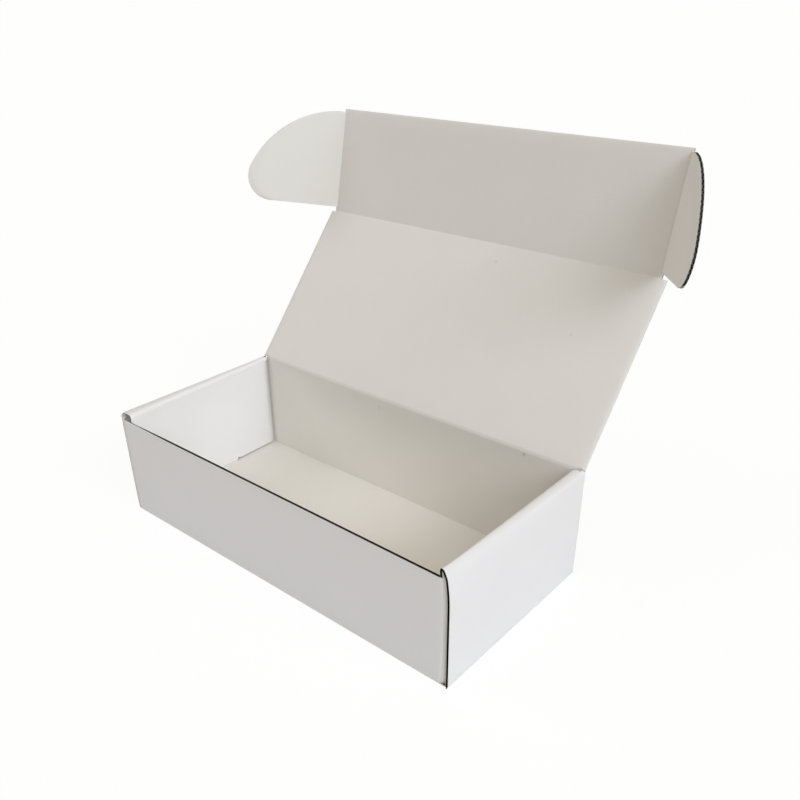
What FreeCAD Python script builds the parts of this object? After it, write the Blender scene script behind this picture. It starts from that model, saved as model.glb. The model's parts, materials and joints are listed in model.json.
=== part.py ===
import FreeCAD, Part
import math
import os
import Sketcher

# Apparel gift box: a roll-end, tuck-front mailer folded from one sheet of
# E-flute board. Millimetres, +Z up, +X to the right, +Y to the back.
# The origin is on the underside of the floor, in the middle of the tray.

sizes = {
    # the tray
    "boxWidth": 320.0,
    "boxDepth": 149.0,
    "frontHeight": 83.0,
    "rollGap": 1.1,
    "lidGap": 0.15,
    # the board
    "board": 1.5,
    "liner": 0.25,
    "flutePitch": 3.2,
    "fluteStart": 1.2,
    "foldInside": 0.3,
    # the double side walls
    "plyGap": 0.1,
    "sideSetback": 0.6,
    "panelLift": 1.0,
    "rollOverlap": 0.3,
    "tabLength": 56.0,
    "tabTaper": 1.0,
    "tabLift": 0.2,
    "slotGap": 0.2,
    "cornerFlap": 60.0,
    "cornerTaper": 4.0,
    "cornerLift": 0.5,
    "grooveDepth": 0.7,
    # the lid, its tuck flap and the two ears
    "lidSetback": 0.5,
    "creaseGap": 0.1,
    "tuckGap": 0.3,
    "earGap": 0.2,
    "flapClearance": 0.4,
    "earSetback": 6.6,
    "earInset": 2.4,
    "earRadius": 85.5,
    "earRound": 20.0,
    # how far the box stands open
    "lidOpen": 132.3,
    "flapFold": 31.5,
    "leftEarFold": 45.0,
    "rightEarFold": 57.5,
}


class Size:
    # a length that carries its number and the expression that drives it
    def __init__(self, number, text):
        self.number = number
        self.text = text

    def __add__(self, other):
        other = asSize(other)
        return Size(self.number + other.number, f"({self.text} + {other.text})")

    def __sub__(self, other):
        other = asSize(other)
        return Size(self.number - other.number, f"({self.text} - {other.text})")

    def __mul__(self, other):
        other = asSize(other)
        return Size(self.number * other.number, f"({self.text} * {other.text})")

    def __truediv__(self, other):
        other = asSize(other)
        return Size(self.number / other.number, f"({self.text} / {other.text})")

    def __neg__(self):
        return Size(-self.number, f"(-{self.text})")


def squareRoot(size):
    return Size(math.sqrt(size.number), f"sqrt({size.text})")


def asSize(value):
    if isinstance(value, Size):
        return value
    return Size(float(value), str(value))


doc = FreeCAD.newDocument("giftBox")
sheet = doc.addObject("Spreadsheet::Sheet", "Sizes")
for row, (name, value) in enumerate(sizes.items(), start=1):
    sheet.set(f"A{row}", name)
    sheet.set(f"B{row}", str(value))
    sheet.setAlias(f"B{row}", name)
doc.recompute()


def named(name):
    return Size(float(sheet.get(name)), f"Sizes.{name}")


board = named("board")
foldInside = named("foldInside")
foldOutside = foldInside + board
halfWidth = named("boxWidth") / 2
halfDepth = named("boxDepth") / 2
foldLine = halfDepth - foldOutside
frontHeight = named("frontHeight")
rollHeight = frontHeight + named("rollGap") + board
springing = rollHeight - foldOutside
rollLip = frontHeight + named("rollOverlap")
hingeHeight = rollHeight + named("lidGap") + board / 2

# the plies of a side wall, from the outside in
sideInner = halfWidth - board
cornerOuter = sideInner - named("plyGap")
cornerInner = cornerOuter - board
panelOuter = cornerInner - named("plyGap")
panelInner = panelOuter - board
sideEnd = halfDepth - named("sideSetback")

# the lid and its flap, measured from their hinge lines
creaseStart = board / 2 + named("creaseGap")
lidLength = named("boxDepth") - board * 2 - named("tuckGap")
flapLength = hingeHeight - board - named("flapClearance")
earAxis = panelInner - named("earGap") - board / 2
earStart = board * 1.5 + named("tuckGap") + named("earSetback")
earEnd = flapLength - named("earInset")


def newBody(label):
    body = doc.addObject("PartDesign::Body", label)
    body.Label = label
    return body


def originItem(body, role):
    return [item for item in body.Origin.OriginFeatures if item.Role == role][0]


def newSketch(body, name, plane, offset=None):
    # a sketch on one of the body's origin planes, moved along its normal
    sketch = body.newObject("Sketcher::SketchObject", name)
    sketch.AttachmentSupport = [(originItem(body, plane), "")]
    sketch.MapMode = "FlatFace"
    if offset is not None:
        sketch.setExpression(".AttachmentOffset.Base.z", offset.text)
    return sketch


def arcBetween(start, end, centre, turn):
    # the arc from start to end: turn is 1 to the left, -1 to the right
    first, last = (start, end) if turn > 0 else (end, start)
    radius = math.dist(start, centre)
    circle = Part.Circle(FreeCAD.Vector(*centre, 0), FreeCAD.Vector(0, 0, 1), radius)
    begin = math.atan2(first[1] - centre[1], first[0] - centre[0])
    finish = math.atan2(last[1] - centre[1], last[0] - centre[0])
    return Part.ArcOfCircle(circle, begin, finish)


def drawOutline(sketch, path):
    # A closed outline of corners (x, y), with an arc wherever an entry
    # (centreX, centreY, turn) stands between two corners. Every corner and
    # every centre is held by expressions.
    corners = [entry for entry in path if len(entry) == 2]
    arcs = {}
    count = 0
    for entry in path:
        if len(entry) == 3:
            arcs[count - 1] = entry
        else:
            count += 1
    base = sketch.GeometryCount
    ends = []
    pieces = []
    for index, corner in enumerate(corners):
        following = corners[(index + 1) % count]
        start = (corner[0].number, corner[1].number)
        end = (following[0].number, following[1].number)
        if index in arcs:
            centre = (arcs[index][0].number, arcs[index][1].number)
            turn = arcs[index][2]
            pieces.append(arcBetween(start, end, centre, turn))
            ends.append((1, 2) if turn > 0 else (2, 1))
        else:
            pieces.append(Part.LineSegment(FreeCAD.Vector(*start, 0), FreeCAD.Vector(*end, 0)))
            ends.append((1, 2))
    sketch.addGeometry(pieces, False)
    joins = []
    for index in range(count):
        after = (index + 1) % count
        joins.append(Sketcher.Constraint(
            "Coincident", base + index, ends[index][1], base + after, ends[after][0]))
    sketch.addConstraint(joins)
    for index, corner in enumerate(corners):
        holdPoint(sketch, base + index, ends[index][0], "DistanceX", corner[0])
        holdPoint(sketch, base + index, ends[index][0], "DistanceY", corner[1])
    for index, (centreX, centreY, turn) in arcs.items():
        following = corners[(index + 1) % count]
        run = abs(following[0].number - corners[index][0].number)
        rise = abs(following[1].number - corners[index][1].number)
        if run > rise:
            holdPoint(sketch, base + index, 3, "DistanceY", centreY)
        else:
            holdPoint(sketch, base + index, 3, "DistanceX", centreX)


def holdPoint(sketch, piece, point, direction, size):
    number = sketch.addConstraint(
        Sketcher.Constraint(direction, -1, 1, piece, point, size.number))
    sketch.setExpression(f"Constraints[{number}]", size.text)


def addPad(body, sketch, name, length, both=False):
    pad = body.newObject("PartDesign::Pad", name)
    pad.Profile = sketch
    pad.setExpression("Length", length.text)
    pad.Midplane = both
    return pad


def addPocket(body, sketch, name, length, both=False):
    pocket = body.newObject("PartDesign::Pocket", name)
    pocket.Profile = sketch
    pocket.setExpression("Length", length.text)
    pocket.Midplane = both
    return pocket


def wallProfile(inset, lowOuter, lowInner):
    # The section of a rolled side wall, from the foot of its outer panel over
    # the roll and down to the foot of its inner panel, shrunk by inset.
    outer = foldOutside - inset
    centreOut = halfWidth - foldOutside
    centreIn = panelInner + foldOutside
    return [
        (halfWidth - inset, lowOuter),
        (halfWidth - inset, springing),
        (centreOut, springing, 1),
        (centreOut, springing + outer),
        (centreIn, springing + outer),
        (centreIn, springing, 1),
        (panelInner + inset, springing),
        (panelInner + inset, lowInner),
        (panelOuter - inset, lowInner),
        (panelOuter - inset, springing),
        (centreIn, springing, -1),
        (centreIn, springing + foldInside + inset),
        (centreOut, springing + foldInside + inset),
        (centreOut, springing, -1),
        (sideInner + inset, springing),
        (sideInner + inset, lowOuter),
    ]


def addFloorAndSide(tray):
    # one half of the floor with its rolled side wall
    zero = asSize(0)
    centre = halfWidth - foldOutside
    wall = wallProfile(zero, foldOutside, board + named("panelLift"))
    profile = newSketch(tray, "sideProfile", "XZ_Plane")
    floor = [
        (sideInner, foldOutside),
        (centre, foldOutside, -1),
        (centre, board),
        (zero, board),
        (zero, zero),
        (centre, zero),
        (centre, foldOutside, 1),
    ]
    drawOutline(profile, wall[:-1] + floor)
    return addPad(tray, profile, "sideWall", foldLine * 2, both=True)


def addSideEnds(tray):
    # the strips of the side wall that cover the front and back corners
    front = newSketch(tray, "rollEndProfile", "XZ_Plane", foldLine)
    drawOutline(front, wallProfile(asSize(0), foldOutside, rollLip))
    frontEnd = addPad(tray, front, "rollEnd", sideEnd - foldLine)
    back = newSketch(tray, "backEndProfile", "XZ_Plane", -sideEnd)
    drawOutline(back, [
        (sideInner, foldOutside),
        (halfWidth, foldOutside),
        (halfWidth, springing),
        (sideInner, springing),
    ])
    backEnd = addPad(tray, back, "backEnd", sideEnd - foldLine)
    return [frontEnd, backEnd]


def addLock(tray):
    # the floor slot, and the tab under the inner panel that locks in it
    gap = named("slotGap")
    half = named("tabLength") / 2
    hole = newSketch(tray, "slotOutline", "XY_Plane")
    drawOutline(hole, [
        (panelInner - gap, -half - gap),
        (panelOuter + gap, -half - gap),
        (panelOuter + gap, half + gap),
        (panelInner - gap, half + gap),
    ])
    slot = addPocket(tray, hole, "floorSlot", board)
    slot.Reversed = True
    top = board + named("panelLift")
    foot = half - named("tabTaper")
    lift = named("tabLift")
    outline = newSketch(tray, "tabOutline", "YZ_Plane", panelInner)
    drawOutline(outline, [(-foot, lift), (foot, lift), (half, top), (-half, top)])
    tab = addPad(tray, outline, "lockTab", board)
    return [slot, tab]


def addCorner(tray, side):
    # the upright fold at one end of the front (-1) or back (1) wall, and its
    # corner flap between the two plies of the side wall
    place = "front" if side < 0 else "back"
    centre = cornerOuter - foldOutside
    line = foldLine * side
    bend = newSketch(tray, place + "CornerProfile", "XY_Plane", foldOutside + named("plyGap"))
    end = (foldLine - foldOutside) * side
    drawOutline(bend, [
        (centre, halfDepth * side),
        (centre, line, -side),
        (cornerOuter, line),
        (cornerOuter, end),
        (cornerInner, end),
        (cornerInner, line),
        (centre, line, side),
        (centre, (halfDepth - board) * side),
    ])
    fold = addPad(tray, bend, place + "Corner", frontHeight - foldOutside - named("plyGap"))
    low = board + named("cornerLift")
    high = frontHeight - named("cornerLift")
    tip = (halfDepth - named("cornerFlap")) * side
    taper = named("cornerTaper")
    outline = newSketch(tray, place + "FlapOutline", "YZ_Plane", cornerInner)
    drawOutline(outline, [(line, low), (tip, low + taper), (tip, high - taper), (line, high)])
    flap = addPad(tray, outline, place + "CornerFlap", board)
    return [fold, flap]


def addFrontAndBack(tray):
    # the floor again with the front and back walls, the back one ending in
    # the half-round of the lid's hinge
    inner = halfDepth - board
    profile = newSketch(tray, "frontBackProfile", "YZ_Plane")
    drawOutline(profile, [
        (-foldLine, asSize(0)),
        (foldLine, asSize(0)),
        (foldLine, foldOutside, 1),
        (halfDepth, foldOutside),
        (halfDepth, hingeHeight),
        (halfDepth - board / 2, hingeHeight, 1),
        (inner, hingeHeight),
        (inner, foldOutside),
        (foldLine, foldOutside, -1),
        (foldLine, board),
        (-foldLine, board),
        (-foldLine, foldOutside, -1),
        (-inner, foldOutside),
        (-inner, frontHeight),
        (-halfDepth, frontHeight),
        (-halfDepth, foldOutside),
        (-foldLine, foldOutside, 1),
    ])
    addPad(tray, profile, "frontAndBack", (cornerOuter - foldOutside) * 2, both=True)


def cutOpenFlutes(tray):
    # the open flute along each cut edge that runs with the flutes
    liner = named("liner")
    depth = named("grooveDepth")
    front = newSketch(tray, "rollEndGroove", "XZ_Plane", sideEnd - depth)
    drawOutline(front, wallProfile(liner, foldOutside + depth, rollLip))
    rollGroove = addPocket(tray, front, "rollEndFlute", depth)
    rollGroove.Reversed = True
    back = newSketch(tray, "backEndGroove", "XZ_Plane", -sideEnd)
    drawOutline(back, [
        (sideInner + liner, foldOutside + depth),
        (halfWidth - liner, foldOutside + depth),
        (halfWidth - liner, springing - depth),
        (sideInner + liner, springing - depth),
    ])
    backGroove = addPocket(tray, back, "backEndFlute", depth)
    backGroove.Reversed = True
    return [rollGroove, backGroove]


def cutFrontFlute(tray):
    liner = named("liner")
    profile = newSketch(tray, "frontEdgeGroove", "YZ_Plane")
    low = frontHeight - named("grooveDepth")
    drawOutline(profile, [
        (-halfDepth + liner, low),
        (-halfDepth + board - liner, low),
        (-halfDepth + board - liner, frontHeight),
        (-halfDepth + liner, frontHeight),
    ])
    addPocket(tray, profile, "frontEdgeFlute", (cornerOuter - foldOutside) * 2, both=True)


def mirrorFeatures(body, features, name):
    mirrored = body.newObject("PartDesign::Mirrored", name)
    mirrored.Originals = features
    mirrored.MirrorPlane = (originItem(body, "YZ_Plane"), [""])
    body.Tip = mirrored


def makeTray():
    tray = newBody("tray")
    addFrontAndBack(tray)
    cutFrontFlute(tray)
    features = [addFloorAndSide(tray)]
    features += addSideEnds(tray)
    features += addLock(tray)
    features += addCorner(tray, -1)
    features += addCorner(tray, 1)
    features += cutOpenFlutes(tray)
    mirrorFeatures(tray, features, "otherSide")
    return tray


def cutFlutes(body, name, skip, reach):
    # The flutes between the liners, as one void under a crest and one over
    # the trough beside it, repeated along the board from the hinge line.
    pitch = named("flutePitch")
    inside = board / 2 - named("liner")
    start = named("fluteStart")
    first = start + pitch * skip
    peak = inside - pitch / 16
    wide = pitch * 0.39
    narrow = pitch * 0.08
    profile = newSketch(body, name + "FluteProfile", "YZ_Plane")
    drawOutline(profile, [
        (-first - pitch / 2 - wide, -inside),
        (-first - pitch / 2 + wide, -inside),
        (-first - pitch / 2 + narrow, peak),
        (-first - pitch / 2 - narrow, peak),
    ])
    drawOutline(profile, [
        (-first - pitch - wide, inside),
        (-first - pitch + wide, inside),
        (-first - pitch + narrow, -peak),
        (-first - pitch - narrow, -peak),
    ])
    pocket = addPocket(body, profile, name + "Flute", named("boxWidth") * 2, both=True)
    pattern = body.newObject("PartDesign::LinearPattern", name + "Flutes")
    pattern.Originals = [pocket]
    pattern.Direction = (originItem(body, "Y_Axis"), [""])
    pattern.Reversed = True
    pattern.Mode = "Spacing"
    pattern.setExpression("Offset", pitch.text)
    last = (reach - start).text
    pattern.setExpression("Occurrences", f"floor({last} / {pitch.text}) + {1 - skip}")
    body.Tip = pattern


def makeLid():
    # hinged about its own X axis, with the fold of the tuck flap at the far end
    lid = newBody("lid_panel")
    profile = newSketch(lid, "lidProfile", "YZ_Plane")
    drawOutline(profile, [
        (-creaseStart, board / 2),
        (-lidLength, board / 2),
        (-lidLength, asSize(0), 1),
        (-lidLength, -board / 2),
        (-creaseStart, -board / 2),
    ])
    addPad(lid, profile, "lidBoard", named("boxWidth") - named("lidSetback") * 2, both=True)
    cutFlutes(lid, "lid", 0, lidLength - named("flutePitch") * 2)
    return lid


def makeFlap():
    # hinged about its own X axis, with a fold for an ear along each side
    flap = newBody("tuck_flap")
    gap = named("creaseGap")
    nub = earAxis + board / 2
    near = earStart - gap
    far = earEnd + gap
    plan = newSketch(flap, "flapPlan", "XY_Plane")
    drawOutline(plan, [
        (nub, -creaseStart),
        (nub, -near),
        (earAxis, -near),
        (earAxis, -far),
        (nub, -far),
        (nub, -flapLength),
        (-nub, -flapLength),
        (-nub, -far),
        (-earAxis, -far),
        (-earAxis, -near),
        (-nub, -near),
        (-nub, -creaseStart),
    ])
    addPad(flap, plan, "flapBoard", board, both=True)
    fold = newSketch(flap, "earFoldProfile", "XZ_Plane", near)
    for side in (1, -1):
        drawOutline(fold, [
            (earAxis * side, -board / 2),
            (earAxis * side, asSize(0), side),
            (earAxis * side, board / 2),
        ])
    addPad(flap, fold, "earFold", far - near)
    cutFlutes(flap, "flap", 0, flapLength)
    return flap


def makeEar(label, side):
    # A quarter disc hinged about its own Y axis, on the right (1) or left (-1)
    # of the flap. Its corner next to the lid is rounded, and the round runs
    # smoothly into the long curve.
    ear = newBody(label)
    radius = named("earRadius")
    bend = named("earRound")
    middle = earEnd - radius
    foot = middle + squareRoot(radius * radius - creaseStart * creaseStart)
    inner = radius - bend
    low = earStart + bend
    reach = squareRoot(inner * inner - (low - middle) * (low - middle))
    share = radius / inner
    plan = newSketch(ear, label + "Plan", "XY_Plane")
    drawOutline(plan, [
        (creaseStart * side, -foot),
        (asSize(0), -middle, side),
        (reach * share * side, -middle - (low - middle) * share),
        (reach * side, -low, side),
        (reach * side, -earStart),
        (creaseStart * side, -earStart),
    ])
    addPad(ear, plan, label + "Board", board, both=True)
    cutFlutes(ear, label, 1, earEnd)
    return ear


def turn(axis, angle):
    return FreeCAD.Placement(FreeCAD.Vector(), FreeCAD.Rotation(FreeCAD.Vector(*axis), angle))


def shift(x, y, z):
    return FreeCAD.Placement(FreeCAD.Vector(x, y, z), FreeCAD.Rotation())


def openBox(lid, flap, leftEar, rightEar):
    # stand the lid, the flap and the ears on their hinge lines, part open
    hinge = shift(0, (halfDepth - board / 2).number, hingeHeight.number)
    lid.Placement = hinge * turn((-1, 0, 0), sizes["lidOpen"])
    crease = lid.Placement * shift(0, -lidLength.number, 0)
    flap.Placement = crease * turn((1, 0, 0), sizes["flapFold"])
    left = shift(-earAxis.number, 0, 0) * turn((0, -1, 0), sizes["leftEarFold"])
    right = shift(earAxis.number, 0, 0) * turn((0, 1, 0), sizes["rightEarFold"])
    leftEar.Placement = flap.Placement * left
    rightEar.Placement = flap.Placement * right


def checkAndWrite(bodies):
    for item in doc.Objects:
        if "Invalid" in item.State or "Error" in item.State:
            raise RuntimeError(f"{item.Label} failed: {item.State}")
    for body in bodies:
        if body.Shape.isNull() or not body.Shape.isValid():
            raise RuntimeError(f"{body.Label} has no valid shape")
        if len(body.Shape.Solids) != 1:
            raise RuntimeError(f"{body.Label} is in {len(body.Shape.Solids)} pieces")
    os.makedirs("parts", exist_ok=True)
    for body in bodies:
        body.Shape.exportStep(f"parts/{body.Label}.step")
        print(body.Label, round(body.Shape.Volume), "mm3", len(body.Shape.Faces), "faces")


tray = makeTray()
lid = makeLid()
flap = makeFlap()
leftEar = makeEar("left_ear", -1)
rightEar = makeEar("right_ear", 1)
openBox(lid, flap, leftEar, rightEar)
doc.recompute()
checkAndWrite([tray, lid, flap, leftEar, rightEar])
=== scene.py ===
import functools
import json
import math

import bpy
import numpy as np
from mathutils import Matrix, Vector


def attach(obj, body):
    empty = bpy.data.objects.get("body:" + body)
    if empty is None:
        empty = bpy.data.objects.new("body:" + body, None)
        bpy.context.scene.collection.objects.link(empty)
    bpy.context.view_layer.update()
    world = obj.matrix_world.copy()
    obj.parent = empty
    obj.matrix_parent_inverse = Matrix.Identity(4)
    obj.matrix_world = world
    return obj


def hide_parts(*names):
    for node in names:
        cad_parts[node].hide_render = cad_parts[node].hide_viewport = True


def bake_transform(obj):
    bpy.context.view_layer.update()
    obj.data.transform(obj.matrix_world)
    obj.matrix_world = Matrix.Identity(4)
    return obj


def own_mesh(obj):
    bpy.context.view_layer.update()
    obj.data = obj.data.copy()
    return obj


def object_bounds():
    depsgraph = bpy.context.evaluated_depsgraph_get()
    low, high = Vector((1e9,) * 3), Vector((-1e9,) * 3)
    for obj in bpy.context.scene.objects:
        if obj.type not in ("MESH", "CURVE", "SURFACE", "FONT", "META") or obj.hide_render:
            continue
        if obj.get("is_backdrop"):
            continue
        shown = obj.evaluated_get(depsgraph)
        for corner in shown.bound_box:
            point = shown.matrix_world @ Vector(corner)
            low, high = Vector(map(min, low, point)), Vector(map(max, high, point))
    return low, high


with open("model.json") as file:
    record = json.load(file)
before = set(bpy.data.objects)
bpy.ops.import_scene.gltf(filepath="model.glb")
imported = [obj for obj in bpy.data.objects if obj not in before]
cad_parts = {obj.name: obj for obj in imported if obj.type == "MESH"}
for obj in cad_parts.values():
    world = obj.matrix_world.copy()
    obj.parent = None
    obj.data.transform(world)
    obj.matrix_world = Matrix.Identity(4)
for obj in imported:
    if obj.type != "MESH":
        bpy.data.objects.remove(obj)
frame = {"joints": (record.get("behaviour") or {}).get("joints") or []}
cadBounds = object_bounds()
print("frame loaded")

# An apparel gift box folded from one sheet of E-flute board. Lengths are in
# millimetres until a mesh is made. x runs to the right, y to the back, z up.
# The flutes run along x in the flat sheet, so "along" is the distance along
# the flutes and "across" the distance over them, from the front wall's top
# edge through the floor and back wall to the end of the tuck flap.
metres = 0.001
foldSteps = 8  # rows of cells across every fold

board = {
    "half": 0.75,  # half the thickness
    "liner": 0.11,
    "pitch": 3.2,
    "thirdWave": 0.11,  # a third harmonic that squares the waves a little
    "room": 0.01,  # between the fluting and the liners
    "paper": 0.16,  # the medium's thickness
    "phase": 1.9,  # where the first wave stands
    "stepsPerFlute": 10,
    "pinchReach": 1.0,  # how far in from an edge a pinch is felt
    "crushReach": 1.1,  # how far beside a fold a crush is felt
    "sharpAngle": 50,  # degrees, for shading
}
tray = {
    "halfWidth": 160.0,
    "frontHeight": 83.0,
    "frontMiddle": 73.75,  # to the middle of the front wall's board
    "floorEdge": 158.2,  # where the side folds start
    "foldLine": 72.7,  # where the front and back folds start
    "sideEnd": 74.45,  # half the length of a side wall
    "innerEnd": 71.2,  # half the length of its inner panel
    "endSlant": 1.3,  # of the inner panel's back end
    "slantReach": 0.6,
    "wallEdge": 156.6,  # half the back wall's top
    "cornerFoot": 1.9,  # lowest edge of the corner flaps
    "cornerDip": 1.5,
    "cornerTip": 14.5,  # distance from the middle that a corner flap reaches to
    "cornerSpacing": 8.0,
    "slotInner": 155.1,
    "slotOuter": 157.0,
    "slotHalf": 28.2,
    "floorBend": 0.75,  # how sharp the folds at the floor are
    "innerMiddle": 3.95,  # inner panel's middle, in from outside
    "innerFoot": 2.5,  # height of the inner panel's lower edge
    "tabHalf": 28.0,
    "tabTaper": 1.0,
    "tabFoot": 0.2,  # height of the tab's lower edge
    "notchMiddle": 29.3,  # the round notch at the tab's shoulder
    "notchRadius": 1.3,
}
lid = {
    "halfWidth": 159.5,
    "crease": 1.2,  # how sharp its two creases are
    "rowSpacing": 6.0,
    "fluteStart": 4.0,  # from the hinge, past what bends
    "fluteGap": 0.1,
    "flapLength": 84.6,
    "flapEdge": 155.1,  # half the flap's width at its end nubs
    "flapSpacing": 10.0,
}
ear = {
    "axis": 154.35,  # x of its fold
    "near": 3.5,  # from the lid's crease to its first edge
    "far": 82.2,  # and to its last
    "gap": 0.15,  # between the ear's edge and the flap's nub
    "radius": 85.8,
    "centre": -3.3,  # of the long curve, across the flap
    "round": 20.0,  # radius of the corner next to the lid
    "crease": 1.2,
    "pinch": {-1: 0.8, 1: -0.35},
    "roundRows": 16,
    "curveRows": 24,
    "lead": 10.0,  # length of flap drawn before the fold
    "squashFrom": 60.0,
    "keepClosed": 0.86,  # share of its reach kept with the lid closed
}
hinges = {joint["name"]: joint for joint in frame["joints"]}


def restAngle(name):
    # a joint's closed limit is as far below rest as the piece stands open
    return -math.radians(hinges[name]["range_deg"][0])


def hingePoint(name):
    return np.array(hinges[name]["pos_m"]) / metres


class Line:
    # A line through corner points in a plane, with every corner rounded off
    # over a given distance on both sides of it. It is walked by length.
    def __init__(self, points, rounds, crush):
        self.parts = []
        self.bends = []
        self.crush = crush
        angles = [math.atan2(b[1] - a[1], b[0] - a[0]) for a, b in zip(points, points[1:])]
        distance, used = 0.0, 0.0
        for i, angle in enumerate(angles):
            start, end = np.array(points[i], float), np.array(points[i + 1], float)
            heading = np.array([math.cos(angle), math.sin(angle)])
            last = i == len(angles) - 1
            tangent = 0.0 if last else rounds[i]
            straight = math.dist(start, end) - used - tangent
            self.parts.append((distance, start + heading * used, angle, 0.0))
            distance += straight
            if last:
                break
            turn = (angles[i + 1] - angle + math.pi) % (2 * math.pi) - math.pi
            length = tangent / math.tan(abs(turn) / 2) * abs(turn)
            self.parts.append((distance, end - heading * tangent, angle, turn / length))
            self.bends.append((distance, distance + length))
            distance += length
            used = tangent
        self.length = distance

    def at(self, distance):
        part = self.parts[0]
        for candidate in self.parts:
            if candidate[0] <= distance + 1e-9:
                part = candidate
        start, point, angle, curve = part
        run = distance - start
        if abs(curve) < 1e-12:
            return point[0] + run * math.cos(angle), point[1] + run * math.sin(angle), angle
        after = angle + curve * run
        x = point[0] + (math.sin(after) - math.sin(angle)) / curve
        y = point[1] - (math.cos(after) - math.cos(angle)) / curve
        return x, y, after

    def offset(self, distance, height):
        # the point at a height off the line, on its right-hand side
        x, y, angle = self.at(distance)
        for (start, end), crush in zip(self.bends, self.crush):
            away = (distance - (start + end) / 2) / board["crushReach"]
            height *= 1 - crush * math.exp(-away * away)
        return x + height * math.sin(angle), y - height * math.cos(angle)

    def steps(self, start, end, spacing, beside=3):
        # distances from start to end: even ones on the straight runs, and
        # close ones in the bends and a few steps beside them
        marks = {round(start, 6), round(end, 6)}
        edges = [start]
        for low, high in self.bends:
            if high <= start or low >= end:
                continue
            for k in range(-beside, foldSteps + beside + 1):
                mark = low + (high - low) * k / foldSteps
                if start < mark < end:
                    marks.add(round(mark, 6))
            edges += [low, high]
        edges.append(end)
        for low, high in zip(edges[::2], edges[1::2]):
            count = max(1, round((high - low) / spacing))
            for k in range(1, count):
                marks.add(round(low + (high - low) * k / count, 6))
        return sorted(marks)


lidOpen = restAngle("lid_hinge")
flapFold = restAngle("tuck_flap_fold")
hingeAt = hingePoint("lid_hinge")[1:]
creaseAt = hingePoint("tuck_flap_fold")[1:]
flapAngle = math.pi - lidOpen + flapFold
flapHeading = np.array([math.cos(flapAngle), math.sin(flapAngle)])
spine = Line(
    [
        (-tray["frontMiddle"], tray["frontHeight"]),
        (-tray["frontMiddle"], board["half"]),
        (tray["frontMiddle"], board["half"]),
        tuple(hingeAt),
        tuple(creaseAt),
        tuple(creaseAt + flapHeading * lid["flapLength"]),
    ],
    [tray["floorBend"], tray["floorBend"], lid["crease"], lid["crease"]],
    crush=[0.1, 0.1, 0.3, 0.3],
)
frontBend, backBend, hingeBend, creaseBend = spine.bends
floorMiddle = (frontBend[1] + backBend[0]) / 2
flapStart = (creaseBend[0] + creaseBend[1]) / 2
mirror = (1, -1)


def fade(value):
    # from 0 to 1 with a soft start and end
    value = min(1.0, max(0.0, value))
    return value * value * (3 - 2 * value)


def bell(value):
    return math.exp(-value * value)


def pinched(height, away, amount):
    # the blade closes the board where it cuts, most of all at the edge itself
    return height * (1 - amount * bell(away / board["pinchReach"]))


# How far the folded sheet strays from true: the back of the tray and the lid
# drift along x, and the hinge crease is lower left of its middle.
stray = {
    "floorBack": 0.9,  # the drift at each fold, to the right
    "hinge": 1.6,
    "crease": -1.0,
    "flapEnd": 1.2,
    "lift": 0.3,  # of the hinge crease, less the sag
    "sag": 0.6,
    "sagMiddle": -45.0,
    "sagReach": 85.0,
    "liftReach": 18.0,
    "backReach": 12.0,
    "frontRise": 0.6,  # of the front wall's top at its right end
    "frontReach": 6.0,
}
hingeStart = spine.at(hingeBend[0])[1]

# how far the die closed the board along its cut edges. The front edge is open
# on the right and closed towards the left.
pinch = {
    "frontOpen": -0.35,
    "frontClosing": 1.05,
    "frontFrom": -90.0,
    "frontReach": 70.0,
    "flapEnd": 0.8,
    "lidSide": 0.85,
    "cornerTop": 0.75,
    "side": {-1: 0.75, 1: -0.15},
}


def hingeLift(x):
    return stray["lift"] - stray["sag"] * bell((x - stray["sagMiddle"]) / stray["sagReach"])


def strayTray(spot):
    x, y, z = spot
    back = np.interp(y, [-tray["foldLine"], tray["foldLine"]], [0, 1])
    side = back * (stray["floorBack"] + (stray["hinge"] - stray["floorBack"]) * z / hingeStart)
    nearBack = bell((tray["frontMiddle"] - y) / stray["backReach"]) if y > 0 else 0.0
    rise = hingeLift(x) * bell((hingeAt[1] - z) / stray["liftReach"]) * nearBack
    share = (x + tray["halfWidth"]) / (2 * tray["halfWidth"])
    nearFront = bell((y + tray["frontMiddle"]) / stray["frontReach"])
    rise += stray["frontRise"] * share * z / tray["frontHeight"] * nearFront
    return np.array([x + side, y, z + rise])


def spinePlace(x, across, height):
    closing = fade((pinch["frontFrom"] - x) / pinch["frontReach"])
    height = pinched(height, across, pinch["frontOpen"] + pinch["frontClosing"] * closing)
    height = pinched(height, spine.length - across, pinch["flapEnd"])
    if hingeBend[1] < across < creaseBend[0]:
        height = pinched(height, lid["halfWidth"] - abs(x), pinch["lidSide"])
    elif backAcross(tray["frontHeight"]) < across <= hingeBend[1]:
        height = pinched(height, tray["wallEdge"] - abs(x), pinch["lidSide"])
    y, z = spine.offset(across, height)
    if across <= hingeBend[0]:
        return strayTray((x, y, z))
    side = np.interp(
        across,
        [hingeBend[0], creaseBend[0], spine.length],
        [stray["hinge"], stray["crease"], stray["flapEnd"]])
    past = across - hingeBend[0] + hingeAt[1] - hingeStart
    return np.array([x + side, y, z + hingeLift(x) * bell(past / stray["liftReach"])])


# the papers' places in the list that every piece gets
# the fourth paper is a painted shade, nearly black, for the liners' inner faces and the fluting
coatedSide, plainSide, cutSide, shadedMediumSide = range(4)


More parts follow.
